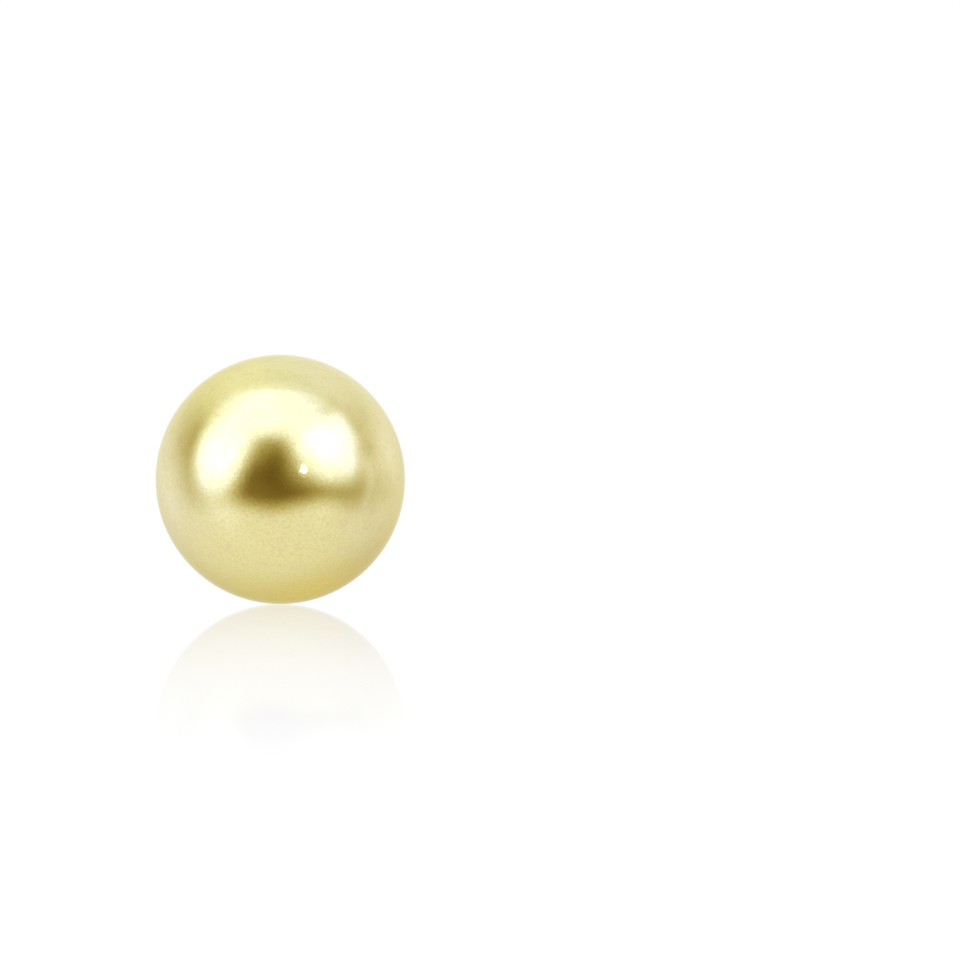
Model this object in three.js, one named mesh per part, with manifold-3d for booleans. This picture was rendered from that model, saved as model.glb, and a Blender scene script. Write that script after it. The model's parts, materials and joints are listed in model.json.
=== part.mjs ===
// A pearl stud earring, lying as it rests by itself: on the underside of its pearl and the straight lower edge
// of its clutch. Three pieces: the half-drilled pearl, the soldered post with its cup and peg, and the clutch.
// Millimetres, +Z up. The pearl faces -Y, and the post runs backwards and a little down from it.

import * as THREE from 'three';
import Module from 'manifold-3d';
import { mergeVertices } from 'three/addons/utils/BufferGeometryUtils.js';

// Pearl: a round bead with a blind hole, drilled to its centre and countersunk at the mouth
const pearlRadius = 5;
const drillRadius = 0.5;
const drillDepth = 5;
const drillPointLength = 0.3;
const countersinkWidth = 0.1;

// Post: peg, cup, boss and pin turned about one axis
const glueGap = 0.04;
const pegRadius = 0.44;
const pegLength = 4.5;
const pegChamfer = 0.12;
const cupRadius = 2.2;
const cupWall = 0.3;
const bossRadius = 1;
const bossFlare = 0.2;
const bossHeight = 0.1;
const postRadius = 0.4;
const postLength = 10;
const solderFillet = 0.15;
const tipLength = 0.5;
const tipRadius = 0.15;
const notchFromTip = 1.7;
const notchDepth = 0.07;
const notchWidth = 0.5;

// Clutch: a strip of sheet metal, broad in the middle, with both ends rolled back to grip the post
const sheet = 0.25;
const plateHeight = 4.6;
const plateFlat = 2.2;
const plateCorner = 0.8;
const rollWidth = 3;
const rollRadius = 1.2;
const rollShrink = 0.37;
const rollTurns = 1.08;
const gripTurns = 0.75;
const gripGap = 0.05;
const holeRadius = 0.48;
const funnelRadius = 0.72;

// Fineness of the round forms
const roundSides = 40;
const frontRings = 14;
const backRings = 9;
const cupRings = 4;
const rollSteps = 26;
const cornerSteps = 5;

// Places along the post's axis, measured from the pearl's centre towards the post's tip
const cupInner = pearlRadius + glueGap;
const cupOuter = cupInner + cupWall;
const lobeSeat = cupOuter + bossHeight;
const postTip = lobeSeat + postLength;
const notchMiddle = postTip - notchFromTip;
const gripDepth = sheet / 2 + rollRadius;
const clutchFront = notchMiddle - gripDepth;
const plateBack = clutchFront + sheet;

// The post's dip at rest: the pearl touches the ground below its centre, and the plate on its rear lower edge
const edgeDrop = plateHeight / 2;
const restTilt = Math.asin(pearlRadius / Math.hypot(plateBack, edgeDrop)) - Math.atan2(edgeDrop, plateBack);

const pearlMaterial = new THREE.MeshStandardMaterial({ color: 0xe3d59a, roughness: 0.18, metalness: 0.1 });
const goldMaterial = new THREE.MeshStandardMaterial({ color: 0xe0b860, roughness: 0.25, metalness: 1 });

// Where a circle about the pearl's centre stands at a given distance from the axis
const axialAt = (circleRadius, fromAxis) => Math.sqrt(circleRadius ** 2 - fromAxis ** 2);

// Profile points of an arc about the pearl's centre. Angles start at the pearl's front.
function centredArc(circleRadius, startAngle, endAngle, steps) {
  const points = [];
  for (let step = 0; step <= steps; step += 1) {
    const angle = THREE.MathUtils.lerp(startAngle, endAngle, step / steps);
    points.push(new THREE.Vector2(circleRadius * Math.sin(angle), -circleRadius * Math.cos(angle)));
  }
  return points;
}

function turned(profile) {
  return new THREE.LatheGeometry(profile, roundSides);
}

// The pearl's rings are split where it touches the ground, so that a vertex lies exactly there
function pearlGeometry() {
  const touchAngle = Math.PI / 2 + restTilt;
  const mouthRadius = drillRadius + countersinkWidth;
  const mouthAngle = Math.PI - Math.asin(mouthRadius / pearlRadius);
  const front = centredArc(pearlRadius, 0, touchAngle, frontRings);
  const back = centredArc(pearlRadius, touchAngle, mouthAngle, backRings);
  const drillBottom = pearlRadius - drillDepth;
  const drill = [
    new THREE.Vector2(drillRadius, axialAt(pearlRadius, drillRadius) - countersinkWidth),
    new THREE.Vector2(drillRadius, drillBottom + drillPointLength),
    new THREE.Vector2(0, drillBottom),
  ];
  return turned([...front, ...back.slice(1), ...drill]);
}

// From the peg's end in the pearl, over the cup's hollow side and rim, to the tip of the post
function postGeometry() {
  const pegEnd = pearlRadius - pegLength;
  const pegAngle = Math.PI - Math.asin(pegRadius / cupInner);
  const innerRimAngle = Math.PI - Math.asin(cupRadius / cupInner);
  const outerRimAngle = Math.PI - Math.asin(cupRadius / cupOuter);
  const bossFoot = bossRadius + bossFlare;
  const bossAngle = Math.PI - Math.asin(bossFoot / cupOuter);
  const notchStart = notchMiddle - notchWidth / 2;
  const notchEnd = notchMiddle + notchWidth / 2;
  const notchRadius = postRadius - notchDepth;
  const peg = [
    new THREE.Vector2(0, pegEnd),
    new THREE.Vector2(pegRadius - pegChamfer, pegEnd),
    new THREE.Vector2(pegRadius, pegEnd + pegChamfer),
  ];
  const pin = [
    new THREE.Vector2(bossRadius, lobeSeat),
    new THREE.Vector2(postRadius + solderFillet, lobeSeat),
    new THREE.Vector2(postRadius, lobeSeat + solderFillet),
    new THREE.Vector2(postRadius, notchStart),
    new THREE.Vector2(notchRadius, notchMiddle),
    new THREE.Vector2(postRadius, notchEnd),
    new THREE.Vector2(postRadius, postTip - tipLength),
    new THREE.Vector2(tipRadius, postTip),
    new THREE.Vector2(0, postTip),
  ];
  return turned([
    ...peg,
    ...centredArc(cupInner, pegAngle, innerRimAngle, cupRings),
    ...centredArc(cupOuter, outerRimAngle, bossAngle, cupRings),
    ...pin,
  ]);
}

// One edge of the rolled strip, offset from its middle line. It leaves the plate and spirals inwards, and it
// passes closest to the post after the turns in gripTurns.
function rollEdge(offset) {
  const rollCentre = postRadius + gripGap + sheet / 2 + rollRadius - rollShrink * gripTurns;
  const points = [];
  for (let step = 0; step <= rollSteps; step += 1) {
    const turns = (rollTurns * step) / rollSteps;
    const reach = rollRadius - rollShrink * turns + offset;
    const angle = 2 * Math.PI * turns;
    points.push(new THREE.Vector2(rollCentre + reach * Math.sin(angle), gripDepth - reach * Math.cos(angle)));
  }
  return points;
}

// The strip seen along its rolls: the right half's outside and inside, then the same mirrored
function stripGeometry() {
  const outside = rollEdge(sheet / 2);
  const inside = rollEdge(-sheet / 2);
  const rightHalf = [...outside, ...inside.reverse()];
  const leftHalf = rightHalf.map((point) => new THREE.Vector2(-point.x, point.y)).reverse();
  const strip = new THREE.ExtrudeGeometry(new THREE.Shape([...rightHalf, ...leftHalf]), {
    depth: rollWidth,
    bevelEnabled: false,
  });
  return strip.translate(0, 0, -rollWidth / 2);
}

// The broad middle of the strip, with straight edges above and below and round corners
function plateGeometry() {
  const straight = plateFlat / 2;
  const top = plateHeight / 2;
  const outline = new THREE.Shape();
  outline.moveTo(-straight, -top);
  outline.lineTo(straight, -top);
  outline.absarc(straight, plateCorner - top, plateCorner, -Math.PI / 2, 0);
  outline.absarc(straight, top - plateCorner, plateCorner, 0, Math.PI / 2);
  outline.lineTo(-straight, top);
  outline.absarc(-straight, top - plateCorner, plateCorner, Math.PI / 2, Math.PI);
  outline.absarc(-straight, plateCorner - top, plateCorner, Math.PI, 1.5 * Math.PI);
  const plate = new THREE.ExtrudeGeometry(outline, {
    depth: sheet,
    bevelEnabled: false,
    curveSegments: cornerSteps,
  });
  return plate.rotateX(-Math.PI / 2);
}

// What the drill takes out of the plate: a funnel that leads the post into a short straight hole
function funnelGeometry() {
  const clearance = 0.1;
  const slope = (funnelRadius - holeRadius) / (sheet / 2);
  return turned([
    new THREE.Vector2(0, -clearance),
    new THREE.Vector2(funnelRadius + slope * clearance, -clearance),
    new THREE.Vector2(holeRadius, sheet / 2),
    new THREE.Vector2(holeRadius, sheet + clearance),
    new THREE.Vector2(0, sheet + clearance),
  ]);
}

const wasm = await Module();
wasm.setup();

function solidOf(geometry) {
  const bare = geometry.clone();
  bare.deleteAttribute('normal');
  bare.deleteAttribute('uv');
  const merged = mergeVertices(bare);
  const vertProperties = new Float32Array(merged.attributes.position.array);
  const triVerts = new Uint32Array(merged.index.array);
  return new wasm.Manifold(new wasm.Mesh({ numProp: 3, vertProperties, triVerts }));
}

function geometryOf(solid) {
  const mesh = solid.getMesh();
  const geometry = new THREE.BufferGeometry();
  geometry.setAttribute('position', new THREE.BufferAttribute(mesh.vertProperties, 3));
  geometry.setIndex(new THREE.BufferAttribute(mesh.triVerts, 1));
  geometry.computeVertexNormals();
  return geometry;
}

function clutchGeometry() {
  const strip = solidOf(stripGeometry());
  const plate = solidOf(plateGeometry());
  return geometryOf(strip.add(plate).subtract(solidOf(funnelGeometry())));
}

function piece(name, geometry, material, alongPost = 0) {
  const mesh = new THREE.Mesh(geometry, material);
  mesh.name = name;
  mesh.position.y = alongPost;
  return mesh;
}

// The pieces share the post's axis, which is the stud's own +Y until it is tipped to its rest
const stud = new THREE.Group();
stud.add(piece('pearl', pearlGeometry(), pearlMaterial));
stud.add(piece('ear_post', postGeometry(), goldMaterial));
stud.add(piece('ear_clutch', clutchGeometry(), goldMaterial, clutchFront));
stud.rotation.x = -restTilt;
stud.position.z = pearlRadius;

// The origin is on the ground below the middle of the whole
const extent = new THREE.Box3().setFromObject(stud, true);
stud.position.y = -(extent.min.y + extent.max.y) / 2;

const earring = new THREE.Group();
earring.add(stud);

export default earring;
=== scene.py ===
import json
import math
import bmesh
import bpy
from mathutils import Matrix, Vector


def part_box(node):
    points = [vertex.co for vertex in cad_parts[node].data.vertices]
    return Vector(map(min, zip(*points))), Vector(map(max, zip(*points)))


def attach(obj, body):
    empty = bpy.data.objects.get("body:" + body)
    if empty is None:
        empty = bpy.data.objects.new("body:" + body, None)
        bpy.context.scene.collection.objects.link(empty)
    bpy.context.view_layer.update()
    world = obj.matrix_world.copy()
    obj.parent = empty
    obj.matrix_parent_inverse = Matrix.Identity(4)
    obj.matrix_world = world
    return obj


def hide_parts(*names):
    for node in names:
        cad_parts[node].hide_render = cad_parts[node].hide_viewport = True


# One pearl stud, resting on its pearl and the lower edge of its clutch.
# Metres, +Z up; the pearl faces -Y and the post runs backwards from it, a little down.

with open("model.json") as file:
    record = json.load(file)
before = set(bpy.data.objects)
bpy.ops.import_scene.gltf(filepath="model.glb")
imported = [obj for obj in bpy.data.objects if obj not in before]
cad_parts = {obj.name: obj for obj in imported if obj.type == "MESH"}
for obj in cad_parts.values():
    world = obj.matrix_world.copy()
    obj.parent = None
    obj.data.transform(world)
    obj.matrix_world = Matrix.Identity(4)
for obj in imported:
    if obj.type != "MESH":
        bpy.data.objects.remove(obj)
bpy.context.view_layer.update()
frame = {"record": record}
bpy.ops.object.select_all(action="DESELECT")
scene = bpy.context.scene
mm = 0.001

# Where the stud lies: the pearl's middle, the way the post points, and the two faces that hold the ear
mounts = {mount["name"]: mount for mount in frame["record"]["mounts"]}
alongPost = Vector(mounts["post_lobe_seat"]["axis"])
pearlRadius = 5 * mm
pearlLow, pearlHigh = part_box("pearl")
pearlMiddle = (pearlLow + pearlHigh) / 2
pearlMiddle.z = pearlLow.z + pearlRadius
lobeSeat = (Vector(mounts["post_lobe_seat"]["pos_m"]) - pearlMiddle).dot(alongPost)
clutchFront = (Vector(mounts["clutch_lobe_seat"]["pos_m"]) - pearlMiddle).dot(alongPost)
print(f"frame: lobe seat {lobeSeat / mm:.2f} mm, clutch {clutchFront / mm:.2f} mm from the pearl's middle")


def pointing(azimuth, elevation):
    # the direction with this azimuth, from -Y towards +X, and this elevation, in degrees
    turn = math.radians(azimuth)
    height = math.radians(elevation)
    return Vector((math.sin(turn) * math.cos(height), -math.cos(turn) * math.cos(height), math.sin(height)))


class Wire:
    # a node's output, so that a sum of several is written as plain arithmetic
    def __init__(self, tree, socket=None):
        self.tree = tree
        self.socket = socket

    def node(self, kind, settings=None, sockets=None, output=0):
        made = self.tree.nodes.new(kind)
        for name, value in (settings or {}).items():
            setattr(made, name, value)
        for name, value in (sockets or {}).items():
            if isinstance(value, Wire):
                self.tree.links.new(value.socket, made.inputs[name])
            else:
                made.inputs[name].default_value = value
        return Wire(self.tree, made.outputs[output] if made.outputs else None)

    def tap(self, output):  # another output of the same node
        return Wire(self.tree, self.socket.node.outputs[output])

    def maths(self, operation, first, second=0.0):
        return self.node("ShaderNodeMath", {"operation": operation}, {0: first, 1: second})

    def vectors(self, operation, first, second=(0, 0, 0)):
        return self.node("ShaderNodeVectorMath", {"operation": operation}, {0: first, 1: second})

    def __add__(self, other):
        return self.maths("ADD", self, other)

    def __sub__(self, other):
        return self.maths("SUBTRACT", self, other)

    def __rsub__(self, other):
        return self.maths("SUBTRACT", other, self)

    def __mul__(self, other):
        return self.maths("MULTIPLY", self, other)

    def __truediv__(self, other):
        return self.maths("DIVIDE", self, other)

    def __pow__(self, other):
        return self.maths("POWER", self, other)

    def __neg__(self):
        return self.maths("MULTIPLY", self, -1.0)

    __radd__ = __add__
    __rmul__ = __mul__

    def rising(self, low, high):  # 0 below low, 1 above high, smooth between
        span = {"Value": self, "From Min": low, "From Max": high}
        return self.node("ShaderNodeMapRange", {"interpolation_type": "SMOOTHSTEP"}, span)

    def edge(self, place, softness):
        return self.rising(place - softness, place + softness)

    def hump(self, middle, width):  # a smooth hill, 1 at its middle
        offset = (self - middle) / width
        return self.maths("EXPONENT", -(offset * offset))

    def held(self, low, high):  # never below low nor above high
        return self.node("ShaderNodeClamp", None, {"Value": self, "Min": low, "Max": high})

    def atMost(self, high):
        return self.maths("MINIMUM", self, high)

    def over(self, mask, other):  # this number, and the other one where the mask is 1
        return self + (other - self) * mask

    def blend(self, mask, first, second, way="MIX"):  # one colour, and the other one where the mask is 1
        kind = {"data_type": "RGBA", "blend_type": way}
        return self.node("ShaderNodeMix", kind, {0: mask, 6: first, 7: second}, 2)

    def along(self, direction):  # how far a place lies in a direction
        return self.vectors("DOT_PRODUCT", self, direction).tap("Value")

    def stretched(self, factor):  # a vector made this many times longer
        return self.node("ShaderNodeVectorMath", {"operation": "SCALE"}, {0: self, "Scale": factor})

    def noise(self, size, detail=2.0):  # clouds about this far across, from 0 to 1
        return self.node("ShaderNodeTexNoise", None, {"Vector": self, "Scale": 1 / size, "Detail": detail})


def blankMaterial(name):
    # a material with no nodes, and a wire to add them by
    material = bpy.data.materials.new(name)
    material.use_nodes = True
    material.node_tree.nodes.clear()
    return material, Wire(material.node_tree)


# Camera: level with the stud and a little above the ground, the pearl left of the middle
camera = {
    "distance": 400 * mm,
    "elevation": 2.5,
    "frameWidth": 38.42 * mm,  # what the picture takes in at the pearl
    "pearlLeft": 7.99 * mm,
    "pearlUp": 0.028 * mm,
    "sensor": 36.0,
    "nearest": 10 * mm,
    "furthest": 10000 * mm,
}


def setCamera():
    height = math.radians(camera["elevation"])
    back = Vector((0, -math.cos(height), math.sin(height)))
    aim = pearlMiddle + Vector((camera["pearlLeft"], 0, -camera["pearlUp"]))
    bpy.ops.object.camera_add(location=aim + back * camera["distance"])
    eye = bpy.context.object
    eye.name = "camera"
    eye.rotation_mode = "QUATERNION"
    eye.rotation_quaternion = (-back).to_track_quat("-Z", "Y")
    eye.data.sensor_width = camera["sensor"]
    eye.data.lens = camera["sensor"] * camera["distance"] / camera["frameWidth"]
    eye.data.clip_start = camera["nearest"]
    eye.data.clip_end = camera["furthest"]
    scene.camera = eye
    scene.view_settings.view_transform = "Standard"
    print("camera: set")


# Studio: a white tent with a lit roof and a softbox at each side, open towards the camera.
# Angles in degrees: azimuth from the camera's side towards +X, elevation above the stud's level.
# The mouth and the roof's rear are places from -1, at the camera, to 1, straight behind the stud.
# An edge's "soft" is half the width over which it fades, and a light of 1 is plain white.
studio = {
    "tent": {"light": 1.03, "overhead": -0.094, "from": 20, "to": 70},
    # the dim room behind the camera, seen through the tent's mouth, and a darker hollow in it
    "opening": {"light": 0.252, "overhead": 0.6, "from": 0, "to": 40, "mouth": -0.1, "soft": 0.8},
    "hollow": {"azimuth": 4.5, "elevation": 16, "width": 18, "height": 24, "light": -0.85},
    "roof": {"light": 2.07, "front": 45.5, "frontSoft": 15,
             "rear": -0.25, "rearSlant": -0.12, "rearSoft": 0.59},
    "left": {"side": -1, "light": 1.57, "outer": -83.2, "outerLean": -0.22, "outerSoft": 14,
             "inner": -39.9, "innerLean": 0.27, "innerSoft": 17.3, "foot": -6.5, "footSoft": 39.2},
    "right": {"side": 1, "light": 1.39, "outer": 77.3, "outerLean": 0.24, "outerSoft": 12.6,
              "inner": 20.2, "innerLean": -0.04, "innerSoft": 34.9, "foot": -1, "footSoft": 15.3},
    # the softboxes' brighter middles
    "leftBulb": {"azimuth": -48, "elevation": 10, "width": 30, "height": 21, "light": 0.9},
    "rightBulb": {"azimuth": 33, "elevation": 31.5, "width": 30, "height": 14.5, "light": 1.32},
    "table": {"light": 0.956, "edge": -16.3, "dip": 10.2, "dipAzimuth": -6.5, "dipWidth": 31, "soft": 12.5},
    "backDrop": {"azimuth": 166, "elevation": -35.5, "width": 39.5, "light": -0.337},
    "horizon": {"azimuth": 180, "elevation": 6.5, "width": 12, "light": 1.06},
    "goldCard": {"azimuth": 165, "elevation": -38, "width": 22.5, "light": (0.189, 0.147, 0.044)},
    "seen": 1.02,  # plain white where the camera looks past the stud
    "warmBelow": 1.223,  # dimmer light than this is warmer, by a power of its strength
    "greenPower": 0.27,
    "bluePower": 1.403,
}

# Soft ovals that dim the tent's walls, and others that lighten or dim whatever is there
tentPatches = [
    {"azimuth": -91.5, "elevation": 25, "width": 58, "height": 21.5, "light": -0.433},
    {"azimuth": 106.5, "elevation": 34.5, "width": 47.5, "height": 15.5, "light": -0.209},
    {"azimuth": 120.5, "elevation": -5.5, "width": 20, "height": 10, "light": -0.125},
]
roomPatches = [
    {"azimuth": 82, "elevation": 66.5, "width": 20, "height": 20, "light": -0.189},
    {"azimuth": 91, "elevation": 4.5, "width": 7.5, "height": 22, "light": 0.217},
    {"azimuth": -57.5, "elevation": -13.5, "width": 18.5, "height": 25, "light": 0.203},
    {"azimuth": 45, "elevation": 0, "width": 16.5, "height": 25, "light": 0.283},
    {"azimuth": 86, "elevation": -13, "width": 30, "height": 17.5, "light": -0.123},
    {"azimuth": -86, "elevation": 52.5, "width": 13.5, "height": 25, "light": -0.252},
    {"azimuth": 81, "elevation": 55, "width": 25, "height": 5.5, "light": -0.162},
    {"azimuth": 92, "elevation": 19.5, "width": 15, "height": 8, "light": -0.188},
]


def paintStudio():
    world = bpy.data.worlds.new("studio")
    world.use_nodes = True
    world.node_tree.nodes.clear()
    scene.world = world
    sky = Wire(world.node_tree)
    turned = {"Vector": sky.node("ShaderNodeTexCoord", output="Generated"),
              "Rotation": (math.radians(camera["elevation"]), 0, 0)}
    direction = sky.node("ShaderNodeMapping", None, turned)  # the studio is set square to the camera
    x = sky.node("ShaderNodeSeparateXYZ", None, {0: direction})
    y = x.tap("Y")
    azimuth = sky.maths("ARCTAN2", x, -y) * math.degrees(1)
    elevation = sky.maths("ARCSINE", x.tap("Z")) * math.degrees(1)

    def patch(at):  # a soft oval of more light, or of less
        hill = azimuth.hump(at["azimuth"], at["width"]) * elevation.hump(at["elevation"], at["height"])
        return hill * at["light"]

    def spot(name):  # a soft round place, which may lie straight behind
        at = studio[name]
        towards = pointing(at["azimuth"], at["elevation"])
        spread = 1 - math.cos(math.radians(at["width"]))
        return sky.maths("EXPONENT", (direction.along(towards) - 1) / spread)

    def wallLight(wall):  # its light at the stud's level, and how that changes overhead
        return wall["light"] + elevation.rising(wall["from"], wall["to"]) * wall["overhead"]

    opening = studio["opening"]
    room = wallLight(opening) * (1 + patch(studio["hollow"]))
    light = wallLight(studio["tent"]).over(1 - y.edge(opening["mouth"], opening["soft"]), room)
    light = light * (1 + sum(patch(at) for at in tentPatches))

    roof = studio["roof"]
    front = elevation.edge(roof["front"], roof["frontSoft"])
    rear = 1 - y.edge(x * roof["rearSlant"] + roof["rear"], roof["rearSoft"])
    light = light.over(front * rear, roof["light"])
    for name in ("left", "right"):
        box = studio[name]
        outer = (azimuth - elevation * box["outerLean"] - box["outer"]) * box["side"]
        inner = (azimuth - elevation * box["innerLean"] - box["inner"]) * box["side"]
        panel = (1 - outer.edge(0, box["outerSoft"])) * inner.edge(0, box["innerSoft"])
        panel = panel * elevation.edge(box["foot"], box["footSoft"])
        light = light.over(panel, patch(studio[name + "Bulb"]) + box["light"])

    table = studio["table"]
    horizon = table["edge"] - azimuth.hump(table["dipAzimuth"], table["dipWidth"]) * table["dip"]
    light = light.over(1 - (elevation - horizon).edge(0, table["soft"]), table["light"])
    light = light * (1 + spot("backDrop") * studio["backDrop"]["light"])
    light = light * (1 + sum(patch(at) for at in roomPatches))
    light = light.over(spot("horizon"), studio["horizon"]["light"])

    warmth = light.atMost(studio["warmBelow"])
    colour = [light, light * warmth ** studio["greenPower"], light * warmth ** studio["bluePower"]]
    card = spot("goldCard")
    channels = {}
    for channel, glint in enumerate(studio["goldCard"]["light"]):
        channels[channel] = colour[channel] + card * glint
    colour = sky.node("ShaderNodeCombineColor", None, channels)
    lit = sky.node("ShaderNodeBackground", None, {"Color": colour})
    plain = sky.node("ShaderNodeBackground", None, {"Color": (1, 1, 1, 1), "Strength": studio["seen"]})
    seen = sky.node("ShaderNodeLightPath", output="Is Camera Ray")
    both = sky.node("ShaderNodeMixShader", None, {0: seen, 1: lit, 2: plain})
    sky.node("ShaderNodeOutputWorld", None, {"Surface": both})
    print("studio: painted")


# A small bare lamp beside the camera, which the pearl shows as a bright dot
lamp = {
    "azimuth": 22.8,
    "elevation": 11.1,
    "distance": 600 * mm,
    "width": 2.8,  # degrees from rim to rim
    "height": 6.3,
    "light": 15.0,
    "colour": (0.6, 0.66, 1.0),
}


def hangLamp():
    toLamp = pointing(lamp["azimuth"], lamp["elevation"])
    bpy.ops.object.light_add(type="AREA", location=pearlMiddle + toLamp * lamp["distance"])
    bulb = bpy.context.object
    bulb.name = "lamp"
    bulb.rotation_mode = "QUATERNION"
    bulb.rotation_quaternion = toLamp.to_track_quat("Z", "Y")
    bulb.data.shape = "ELLIPSE"
    bulb.data.size = 2 * lamp["distance"] * math.tan(math.radians(lamp["width"] / 2))
    bulb.data.size_y = 2 * lamp["distance"] * math.tan(math.radians(lamp["height"] / 2))
    bulb.data.energy = lamp["light"] * math.pi * bulb.data.size * bulb.data.size_y
    bulb.data.color = lamp["colour"]
    bulb.visible_camera = False
    print("lamp: hung")


# Floor: a sheet that is plain white at a grazing look and mirrors the pearl, less and less towards
# the front. From above it is matt paint, which takes shadows.
ground = {
    "size": 1200 * mm,
    "refraction": 1.45,
    "grazing": 1.35,  # how much sooner than by its refraction alone a look counts as grazing
    "shine": 0.45,
    "fadeLength": 103 * mm,
    "fadeCurve": 1.4,
    "rimSoft": 0.015 * mm,
    "glow": 1.02,
    "paint": (0.45, 0.45, 0.45, 1),
    "paintGlow": 0.5,
}


def whereMirrored(side, inFront):
    # 1 where the floor shows the pearl, 0 past its rim: the look that glances off each place is followed
    # to the upright plane through the pearl's middle, which it meets so far sideways and so far up
    tilt = math.radians(camera["elevation"])
    reach = camera["distance"] * math.cos(tilt)
    steepness = math.tan(tilt) + pearlMiddle.z / reach
    nearer = 1 - inFront / reach
    sideways = (side - inFront * (camera["pearlLeft"] / reach)) / nearer
    upwards = inFront * steepness / nearer - pearlMiddle.z
    fromMiddle = (sideways * sideways + upwards * upwards) ** 0.5
    return 1 - fromMiddle.rising(pearlRadius, pearlRadius + ground["rimSoft"])


def layFloor():
    bpy.ops.mesh.primitive_plane_add(size=ground["size"])
    sheet = bpy.context.object
    sheet.name = "floor"
    material, look = blankMaterial("floor_sheet")
    sheet.data.materials.append(material)
    place = look.node("ShaderNodeTexCoord", output="Object")
    side = look.node("ShaderNodeSeparateXYZ", None, {0: place})
    inFront = pearlMiddle.y - side.tap("Y")
    grazing = look.node("ShaderNodeFresnel", None, {"IOR": ground["refraction"]}) * ground["grazing"]
    grazing = (grazing * grazing).atMost(1)
    fade = (1 - inFront / ground["fadeLength"]).held(0, 1) ** ground["fadeCurve"]
    mirror = grazing * fade * whereMirrored(side, inFront) * ground["shine"]

    paint = look.node("ShaderNodeBsdfDiffuse", None, {"Color": ground["paint"]})
    lift = look.node("ShaderNodeEmission", None, {"Strength": ground["paintGlow"]})
    paint = look.node("ShaderNodeAddShader", None, {0: paint, 1: lift})
    glow = look.node("ShaderNodeEmission", None, {"Strength": ground["glow"]})
    matt = look.node("ShaderNodeMixShader", None, {0: grazing, 1: paint, 2: glow})
    gloss = look.node("ShaderNodeBsdfAnisotropic", None, {"Color": (1, 1, 1, 1), "Roughness": 0.0})
    both = look.node("ShaderNodeMixShader", None, {0: mirror, 1: matt, 2: gloss})
    look.node("ShaderNodeOutputMaterial", None, {"Surface": both})
    material.cycles.emission_sampling = "NONE"
    sheet.visible_glossy = False  # the pearl mirrors the studio's table instead
    print("floor: laid")


# What the pieces share: each is made upright, its post's way up and the pearl's middle at the origin

def finishPiece(piece, name, material, smoothAngle):
    # turned on to the post's line, moved to the pearl's middle, and tied to the frame
    piece.name = piece.data.name = name
    piece.rotation_mode = "QUATERNION"
    piece.rotation_quaternion = Vector((0, 0, 1)).rotation_difference(alongPost)
    piece.location = pearlMiddle
    bpy.ops.object.select_all(action="DESELECT")
    piece.select_set(True)
    bpy.context.view_layer.objects.active = piece
    bpy.ops.object.transform_apply(location=True, rotation=True, scale=True)
    bpy.ops.object.shade_smooth_by_angle(angle=math.radians(smoothAngle))
    piece.data.materials.clear()
    piece.data.materials.append(material)
    applyModifier(piece, "WEIGHTED_NORMAL", {"keep_sharp": True, "weight": 60})
    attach(piece, "root")


def pickFaces(piece, wanted):
    bpy.ops.mesh.select_mode(type="FACE")
    bpy.ops.mesh.select_all(action="DESELECT")
    mesh = bmesh.from_edit_mesh(piece.data)
    for face in mesh.faces:
        face.select_set(wanted(face.calc_center_median()))
    bmesh.update_edit_mesh(piece.data)


def applyModifier(piece, kind, settings):
    modifier = piece.modifiers.new(kind.lower(), kind)
    for name, value in settings.items():
        setattr(modifier, name, value)
    bpy.context.view_layer.objects.active = piece
    bpy.ops.object.modifier_apply(modifier=modifier.name)


def closeEdit():
    # every face is turned to point outwards, and edit mode is left
    bpy.ops.mesh.select_all(action="SELECT")
    bpy.ops.mesh.normals_make_consistent(inside=False)
    bpy.ops.object.mode_set(mode="OBJECT")


def drawTo(ring, last):
    # the picked face or rim is drawn on from the last ring to this one: each is a radius and a place
    radius, place = ring
    lastRadius, lastPlace = last
    bpy.ops.mesh.extrude_region_move(TRANSFORM_OT_translate={"value": (0, 0, place - lastPlace)})
    grow = radius / lastRadius
    bpy.ops.transform.resize(value=(grow, grow, 1), center_override=(0, 0, place))


def turnedPiece(rings, sides):
    # a disc drawn out ring after ring along the axis
    last = rings[0]
    bpy.ops.mesh.primitive_circle_add(vertices=sides, radius=last[0], fill_type="TRIFAN")
    piece = bpy.context.object
    bpy.ops.object.mode_set(mode="EDIT")
    bpy.ops.mesh.select_all(action="SELECT")
    bpy.ops.transform.translate(value=(0, 0, last[1]))
    bpy.ops.mesh.select_mode(type="FACE")
    for ring in rings[1:]:
        drawTo(ring, last)
        last = ring
    closeEdit()
    return piece


def arc(middle, radius, start, end, steps):
    # rings along an arc: angles in degrees from the post's direction outwards
    rings = []
    for step in range(steps + 1):
        angle = math.radians(start + (end - start) * step / steps)
        rings.append((middle[0] + radius * math.sin(angle), middle[1] + radius * math.cos(angle)))
    return rings


# Pearl: a round bead, drilled from the back to its middle
pearl = {
    "sides": 144,
    "mouthRings": 5,  # the drill's mouth takes this many rings of the bead
    "drillRadius": 0.5 * mm,
    "mouthRadius": 0.6 * mm,
    "countersink": 0.1 * mm,
    "drillDepth": 5 * mm,
    "drillPoint": 0.3 * mm,
    "waviness": 0.008 * mm,
    "waveLength": 2.4 * mm,
    "smoothAngle": 40,
}

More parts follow.
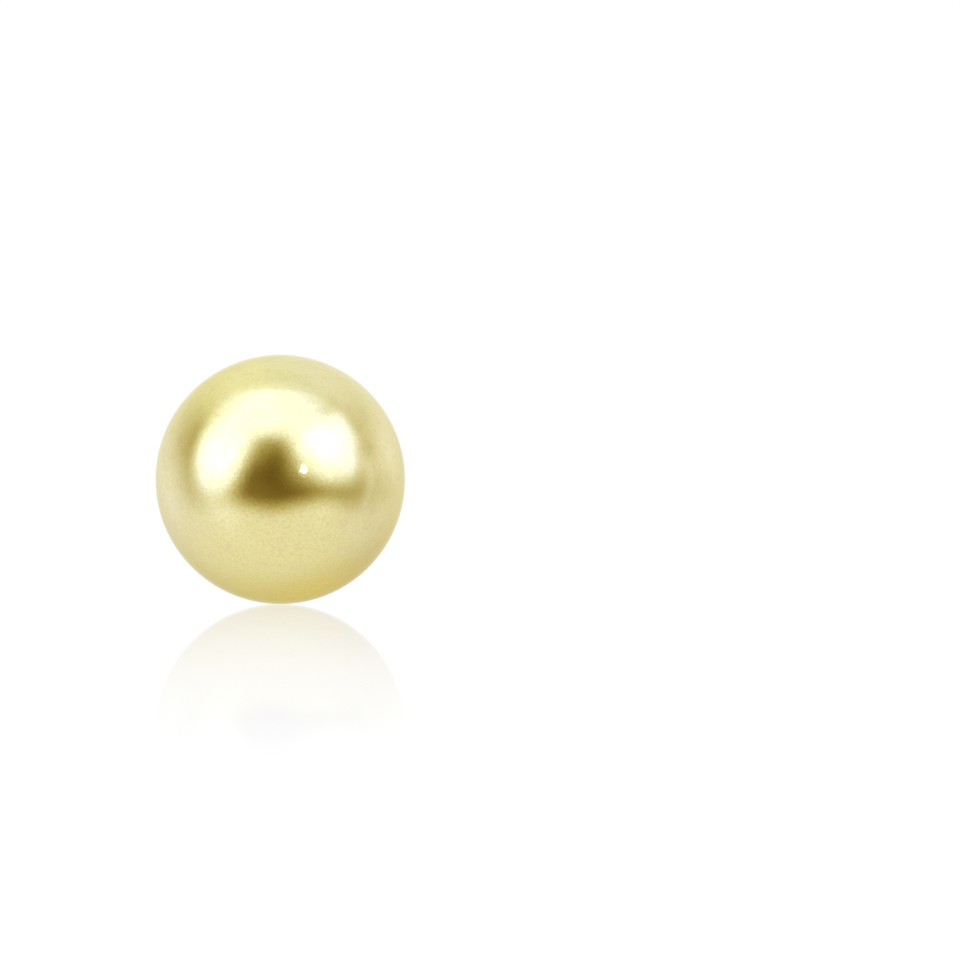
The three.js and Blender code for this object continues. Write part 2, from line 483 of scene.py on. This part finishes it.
# Nacre: a soft metallic glow under a thin clear skin, finely grained, with breaths of other colours.
# Sizes in millimetres. A side tint colours the side of the pearl that its direction points to. It is partly
# the nacre's own overtones and partly painted light: a painted warm light at the bottom and a painted
# paler reflection on the left rim. Where a tint starts and where it is full are parts of the radius,
# measured towards that side.
nacre = {
    "body": (0.74, 0.675, 0.31, 1),
    "back": (0.84, 0.745, 0.4, 1),
    "backFrom": 0.05,
    "backTo": 0.7,
    "sideTintFrom": 0.5,
    "edgeTint": (0.9, 0.88, 0.75, 1),
    "blur": 0.085,
    "blurChange": 0.03,
    "skin": 0.15,
    "skinBlur": 0.02,
    "skinRefraction": 1.65,
    "grain": 0.11,
    "grainDepth": 0.0018,
    "grainTint": (0.885, 0.87, 0.78, 1),
    "grainFrom": 0.5,
    "grainAside": 0.5,  # how strong the grain's tint is away from the front
    "grainMatt": 0.03,
    "clouds": 0.6,
    "cloudTint": 0.5,
    "rose": (0.84, 0.735, 0.43, 1),
    "leaf": (0.77, 0.77, 0.38, 1),
    "depth": 0.4,  # how thick the nacre is over the bead's core
    "depthSoft": 0.03,
    "core": (0.78, 0.73, 0.62, 1),
    "coreBlur": 0.55,
}
# Side tints: partly the nacre's own overtones, partly painted light and painted reflection laid into the
# colour
overtonesAndPaintedLight = [
    {"towards": (-0.6, -0.3, 0.75), "colour": (0.945, 0.905, 0.45, 1)},
    {"towards": (0.7, -0.2, 0.7), "colour": (0.9, 0.86, 0.54, 1)},
    # painted warm light from below: the amber bottom
    {"towards": (0.1, 0.3, -1.0), "colour": (0.915, 0.855, 0.27, 1)},
    # painted reflection: the paler left rim
    {"towards": (-1.0, -0.1, -0.1), "colour": (0.95, 0.915, 0.66, 1)},
    {"towards": (0.8, -0.1, -0.65), "colour": (0.785, 0.72, 0.65, 1)},
    {"towards": (-0.7, -0.2, -0.7), "colour": (0.835, 0.765, 0.51, 1)},
    {"towards": (0.0, -0.75, -0.65), "colour": (0.87, 0.795, 0.41, 1)},
    {"towards": (1.0, -0.2, 0.1), "colour": (0.905, 0.84, 0.52, 1)},
]


def mixNacre():
    material, look = blankMaterial("nacre")
    place = look.node("ShaderNodeTexCoord", output="Object")
    centred = {"Vector": place, "Location": -pearlMiddle / mm, "Scale": (1 / mm,) * 3}
    place = look.node("ShaderNodeMapping", None, centred)  # millimetres from the pearl's middle
    grain = place.noise(nacre["grain"])
    clouds = place.noise(nacre["clouds"], 1.0)

    def onSide(towards):  # 1 where the pearl faces that way, 0 round its waist
        return place.along(Vector(towards).normalized() * mm / pearlRadius)

    colour = nacre["body"]
    # the side tints, overtones together with painted light and painted reflection
    for sideTint in overtonesAndPaintedLight:
        colour = look.blend(onSide(sideTint["towards"]).rising(nacre["sideTintFrom"], 1), colour, sideTint["colour"])
    facing = onSide((0, -1, 0))
    colour = look.blend((-facing).rising(nacre["backFrom"], nacre["backTo"]), colour, nacre["back"])
    for share, tint in ((clouds, "rose"), (1 - clouds, "leaf")):
        colour = look.blend(share.rising(0.5, 0.8) * nacre["cloudTint"], colour, nacre[tint])
    shaded = grain.rising(0.35, 0.75)
    strength = facing.rising(nacre["grainFrom"], 1) * (1 - nacre["grainAside"]) + nacre["grainAside"]
    colour = look.blend(shaded * strength, colour, nacre["grainTint"], "MULTIPLY")

    # the drill hole shows the bead's chalky core under the nacre
    fromMiddle = look.vectors("LENGTH", place).tap("Value")
    shell = fromMiddle.edge(pearlRadius / mm - nacre["depth"], nacre["depthSoft"])
    bump = {"Height": grain, "Strength": 1.0, "Distance": nacre["grainDepth"] * mm}
    surface = {
        "Base Color": look.blend(shell, nacre["core"], colour),
        "Metallic": shell * (1 - shaded * nacre["grainMatt"]),
        "Roughness": (clouds * nacre["blurChange"] + nacre["blur"]).over(1 - shell, nacre["coreBlur"]),
        "Specular Tint": nacre["edgeTint"],
        "Coat Weight": shell * nacre["skin"],
        "Coat Roughness": nacre["skinBlur"],
        "Coat IOR": nacre["skinRefraction"],
        "Normal": look.node("ShaderNodeBump", None, bump),
    }
    shader = look.node("ShaderNodeBsdfPrincipled", None, surface)
    look.node("ShaderNodeOutputMaterial", None, {"Surface": shader})
    return material


def makePearl():
    mouthAngle = math.asin(pearl["mouthRadius"] / pearlRadius)
    rings = round(pearl["mouthRings"] * math.pi / mouthAngle)
    bpy.ops.mesh.primitive_uv_sphere_add(segments=pearl["sides"], ring_count=rings, radius=pearlRadius)
    bead = bpy.context.object
    bpy.ops.object.mode_set(mode="EDIT")
    mouthPlace = pearlRadius * math.cos(mouthAngle)
    pickFaces(bead, lambda middle: middle.z > mouthPlace)
    bpy.ops.mesh.delete(type="FACE")
    bpy.ops.mesh.select_mode(type="EDGE")
    bpy.ops.mesh.select_all(action="DESELECT")
    bpy.ops.mesh.select_non_manifold()
    drill = pearl["drillRadius"]
    drillEnd = pearlRadius - pearl["drillDepth"]
    mouth = (pearl["mouthRadius"], mouthPlace)
    neck = (drill, math.sqrt(pearlRadius ** 2 - drill ** 2) - pearl["countersink"])
    shoulder = (drill, drillEnd + pearl["drillPoint"])
    drawTo(neck, mouth)
    drawTo(shoulder, neck)
    drawTo((drill / 2, drillEnd), shoulder)
    bpy.ops.mesh.merge(type="CENTER")
    closeEdit()
    waves = bpy.data.textures.new("pearl_waves", "CLOUDS")
    waves.noise_scale = pearl["waveLength"]
    applyModifier(bead, "DISPLACE", {"texture": waves, "strength": pearl["waviness"], "mid_level": 0.5})
    finishPiece(bead, "pearl_bead", mixNacre(), pearl["smoothAngle"])
    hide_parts("pearl")
    print(f"pearl: {len(bead.data.polygons)} faces")


# Ear post: peg, cup, boss and pin in one piece
earPost = {
    "sides": 96,
    "glueGap": 0.04 * mm,
    "pegRadius": 0.44 * mm,
    "pegLength": 4.5 * mm,
    "pegChamfer": 0.12 * mm,
    "cupRadius": 2.2 * mm,
    "cupWall": 0.3 * mm,
    "cupSteps": 10,
    "bossRadius": 1.0 * mm,
    "bossEdge": 0.02 * mm,
    "bossFlare": 0.2 * mm,  # how much wider the solder makes its foot
    "flareWaist": 0.06 * mm,
    "flareHeight": 0.05 * mm,
    "radius": 0.4 * mm,
    "length": 10 * mm,
    "solderFillet": 0.15 * mm,
    "filletSteps": 5,
    "notchFromTip": 1.7 * mm,
    "notchDepth": 0.07 * mm,
    "notchWidth": 0.5 * mm,
    "notchSteps": 12,
    "tipLength": 0.5 * mm,
    "tipRadius": 0.15 * mm,
    "tipRound": 0.99,  # at 1 the tip's curve would end square to the post
    "tipFlat": 0.09 * mm,
    "tipSteps": 10,
    "smoothAngle": 40,
}

# Gold: bright plated metal, with fine lines left by drawing or rolling and a few duller patches.
# Sizes in millimetres.
gold = {
    "body": (0.76, 0.48, 0.16, 1),
    "deep": (0.74, 0.455, 0.14, 1),
    "blur": 0.1,
    "blurChange": 0.1,
    "patches": 0.9,
    "lineLength": 2.5,
    "lineWidth": 0.02,
    "lineDepth": 0.0002,
    "peel": 0.2,
    "peelDepth": 0.0006,
}


def polishGold(name, grainAlong):
    material, look = blankMaterial(name)
    place = look.node("ShaderNodeTexCoord", output="Object")
    scaled = {"Vector": place, "Scale": (1 / mm,) * 3}
    place = look.node("ShaderNodeMapping", None, scaled)  # in millimetres
    patches = place.noise(gold["patches"])
    # clouds of the lines' width, drawn out along the grain to the lines' length
    across = place.stretched(1 / gold["lineWidth"])
    drawn = place.along(grainAlong) * (1 / gold["lineLength"] - 1 / gold["lineWidth"])
    grainAxis = look.node("ShaderNodeCombineXYZ", None, dict(enumerate(grainAlong)))
    lines = look.vectors("ADD", across, grainAxis.stretched(drawn)).noise(1.0, 1.0)
    peel = place.noise(gold["peel"]) * gold["peelDepth"] + lines * gold["lineDepth"]
    surface = {
        "Base Color": look.blend(patches.rising(0.35, 0.75), gold["body"], gold["deep"]),
        "Metallic": 1.0,
        "Roughness": (patches * lines) * gold["blurChange"] + gold["blur"],
        "Normal": look.node("ShaderNodeBump", None, {"Height": peel, "Strength": 1.0, "Distance": mm}),
    }
    shader = look.node("ShaderNodeBsdfPrincipled", None, surface)
    look.node("ShaderNodeOutputMaterial", None, {"Surface": shader})
    return material


def postRings():
    # the post's half outline, from the peg's end in the pearl, round the cup and back, to the tip
    inner = pearlRadius + earPost["glueGap"]
    outer = inner + earPost["cupWall"]
    lip = earPost["cupWall"] / 2
    lipReach = inner + lip
    lipAngle = math.degrees(math.asin((earPost["cupRadius"] - lip) / lipReach))
    lipMiddle = (earPost["cupRadius"] - lip, lipReach * math.cos(math.radians(lipAngle)))
    pegEnd = pearlRadius - earPost["pegLength"]
    pegAngle = math.degrees(math.asin(earPost["pegRadius"] / inner))
    peg = [
        (earPost["pegRadius"] - earPost["pegChamfer"], pegEnd),
        (earPost["pegRadius"], pegEnd + earPost["pegChamfer"]),
    ]
    cupInside = arc((0, 0), inner, pegAngle, lipAngle, earPost["cupSteps"])
    rim = arc(lipMiddle, lip, lipAngle + 180, lipAngle, earPost["cupSteps"])[1:-1]
    bossFoot = earPost["bossRadius"] + earPost["bossFlare"]
    bossAngle = math.degrees(math.asin(bossFoot / outer))
    cupOutside = arc((0, 0), outer, lipAngle, bossAngle, earPost["cupSteps"])
    cupTop = cupOutside[-1][1]
    boss = [
        (earPost["bossRadius"] + earPost["flareWaist"], cupTop + earPost["flareHeight"]),
        (earPost["bossRadius"], lobeSeat - earPost["bossEdge"]),
        (earPost["bossRadius"] - earPost["bossEdge"], lobeSeat),
    ]
    radius = earPost["radius"]
    fillet = earPost["solderFillet"]
    solder = arc((radius + fillet, lobeSeat + fillet), fillet, 180, 270, earPost["filletSteps"])
    tip = lobeSeat + earPost["length"]
    notchMiddle = tip - earPost["notchFromTip"]
    notch = []
    for step in range(earPost["notchSteps"] + 1):
        across = step / earPost["notchSteps"] - 0.5
        depth = earPost["notchDepth"] * (0.5 + 0.5 * math.cos(2 * math.pi * across))
        notch.append((radius - depth, notchMiddle + earPost["notchWidth"] * across))
    nose = []
    for step in range(earPost["tipSteps"] + 1):
        along = step / earPost["tipSteps"]
        drop = (radius - earPost["tipRadius"]) * (1 - math.sqrt(1 - along ** 2 * earPost["tipRound"]))
        nose.append((radius - drop, tip - earPost["tipLength"] * (1 - along)))
    end = [(earPost["tipFlat"], tip)]
    return peg + cupInside + rim + cupOutside + boss + solder + notch + nose + end


def makeEarPost(metal):
    post = turnedPiece(postRings(), earPost["sides"])
    finishPiece(post, "soldered_post", metal, earPost["smoothAngle"])
    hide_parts("ear_post")
    print(f"ear post: {len(post.data.polygons)} faces")


# Ear clutch: a broad plate with a funnelled hole, and a strip whose two ends roll back to grip the post
earClutch = {
    "sheet": 0.25 * mm,
    "plateHeight": 4.6 * mm,
    "plateFlat": 2.2 * mm,
    "plateCorner": 0.8 * mm,
    "cornerSteps": 10,
    "rollWidth": 3 * mm,
    "rollThinner": 0.98,  # than the plate, so that their faces don't coincide where they are joined
    "rollRadius": 1.2 * mm,
    "rollShrink": 0.37 * mm,  # how much tighter the roll gets in a turn
    "rollTurns": 1.08,
    "gripTurns": 0.75,
    "gripGap": 0.05 * mm,
    "rollSteps": 78,
    "holeRadius": 0.48 * mm,
    "funnelRadius": 0.72 * mm,
    "drillSides": 64,
    "drillSpare": 0.1 * mm,  # how far the drill reaches past the plate's faces
    "rimRound": 0.045 * mm,
    "rimAngle": 60,
    "weld": 0.001 * mm,
    "smoothAngle": 30,
}


def roundRims(piece):
    applyModifier(piece, "BEVEL", {
        "width": earClutch["rimRound"],
        "segments": 3,
        "limit_method": "ANGLE",
        "angle_limit": math.radians(earClutch["rimAngle"]),
    })


def makePlate():
    sheet = earClutch["sheet"]
    width = earClutch["plateFlat"] + 2 * earClutch["plateCorner"]
    size = Vector((width, earClutch["plateHeight"], sheet))
    bpy.ops.mesh.primitive_cube_add(size=1, location=(0, 0, clutchFront + sheet / 2), scale=size)
    plate = bpy.context.object
    bpy.ops.object.transform_apply(location=True, rotation=True, scale=True)
    bpy.ops.object.mode_set(mode="EDIT")
    bpy.ops.mesh.select_mode(type="EDGE")
    bpy.ops.mesh.select_all(action="DESELECT")
    mesh = bmesh.from_edit_mesh(plate.data)
    for edge in mesh.edges:
        edge.select_set(abs(edge.verts[0].co.z - edge.verts[1].co.z) > sheet / 2)
    bmesh.update_edit_mesh(plate.data)
    bpy.ops.mesh.bevel(offset=earClutch["plateCorner"], segments=earClutch["cornerSteps"])
    bpy.ops.object.mode_set(mode="OBJECT")
    roundRims(plate)
    return plate


def rollPoint(turns):
    # the middle line of the right roll, across and along the post
    radius = earClutch["rollRadius"]
    grip = radius - earClutch["rollShrink"] * earClutch["gripTurns"]
    middle = earPost["radius"] + earClutch["gripGap"] + earClutch["sheet"] / 2 + grip
    reach = radius - earClutch["rollShrink"] * turns
    depth = earClutch["sheet"] / 2 + radius
    angle = 2 * math.pi * turns
    return Vector((middle + reach * math.sin(angle), 0, clutchFront + depth - reach * math.cos(angle)))


def makeStrip():
    # half of the strip is drawn out step by step from the middle of the plate, and mirrored
    sheet = earClutch["sheet"]
    bpy.ops.mesh.primitive_plane_add(size=1)
    strip = bpy.context.object
    bpy.ops.object.mode_set(mode="EDIT")
    bpy.ops.mesh.select_all(action="SELECT")
    bpy.ops.transform.rotate(value=math.pi / 2, orient_axis="Y", center_override=(0, 0, 0))
    bpy.ops.transform.resize(value=(1, earClutch["rollWidth"], sheet * earClutch["rollThinner"]))
    last = Vector((0, 0, clutchFront + sheet / 2))
    bpy.ops.transform.translate(value=last)
    bpy.ops.mesh.select_mode(type="FACE")
    turned = 0
    nudge = 0.001
    for step in range(earClutch["rollSteps"] + 1):
        turns = earClutch["rollTurns"] * step / earClutch["rollSteps"]
        place = rollPoint(turns)
        bpy.ops.mesh.extrude_region_move(TRANSFORM_OT_translate={"value": place - last})
        heading = rollPoint(turns + nudge) - rollPoint(turns - nudge)
        angle = math.atan2(heading.z, heading.x) % (2 * math.pi) if step else 0
        bpy.ops.transform.rotate(value=angle - turned, orient_axis="Y", center_override=place)
        last = place
        turned = angle
    pickFaces(strip, lambda middle: middle.x < sheet / 100)
    bpy.ops.mesh.delete(type="FACE")
    bpy.ops.object.mode_set(mode="OBJECT")
    applyModifier(strip, "MIRROR", {"merge_threshold": sheet / 100})
    bpy.ops.object.mode_set(mode="EDIT")
    closeEdit()
    roundRims(strip)
    return strip


def funnelRings():
    # what the drill takes out of the plate: a funnel that leads the post into a short straight hole
    hole = earClutch["holeRadius"]
    wide = earClutch["funnelRadius"]
    half = earClutch["sheet"] / 2
    spare = earClutch["drillSpare"]
    return [
        (wide + (wide - hole) * spare / half, clutchFront - spare),
        (hole, clutchFront + half),
        (hole, clutchFront + 2 * half + spare),
    ]


def makeEarClutch(metal):
    strip = makeStrip()
    plate = makePlate()
    applyModifier(strip, "BOOLEAN", {"object": plate, "operation": "UNION", "solver": "EXACT"})
    bpy.data.objects.remove(plate)
    drill = turnedPiece(funnelRings(), earClutch["drillSides"])
    applyModifier(strip, "BOOLEAN", {"object": drill, "operation": "DIFFERENCE", "solver": "EXACT"})
    bpy.data.objects.remove(drill)
    bpy.ops.object.mode_set(mode="EDIT")
    bpy.ops.mesh.select_all(action="SELECT")
    bpy.ops.mesh.remove_doubles(threshold=earClutch["weld"])
    closeEdit()
    finishPiece(strip, "butterfly_clutch", metal, earClutch["smoothAngle"])
    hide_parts("ear_clutch")
    print(f"ear clutch: {len(strip.data.polygons)} faces")


setCamera()
paintStudio()
hangLamp()
layFloor()
makePearl()
makeEarPost(polishGold("drawn_gold", alongPost))
makeEarClutch(polishGold("rolled_gold", (1, 0, 0)))
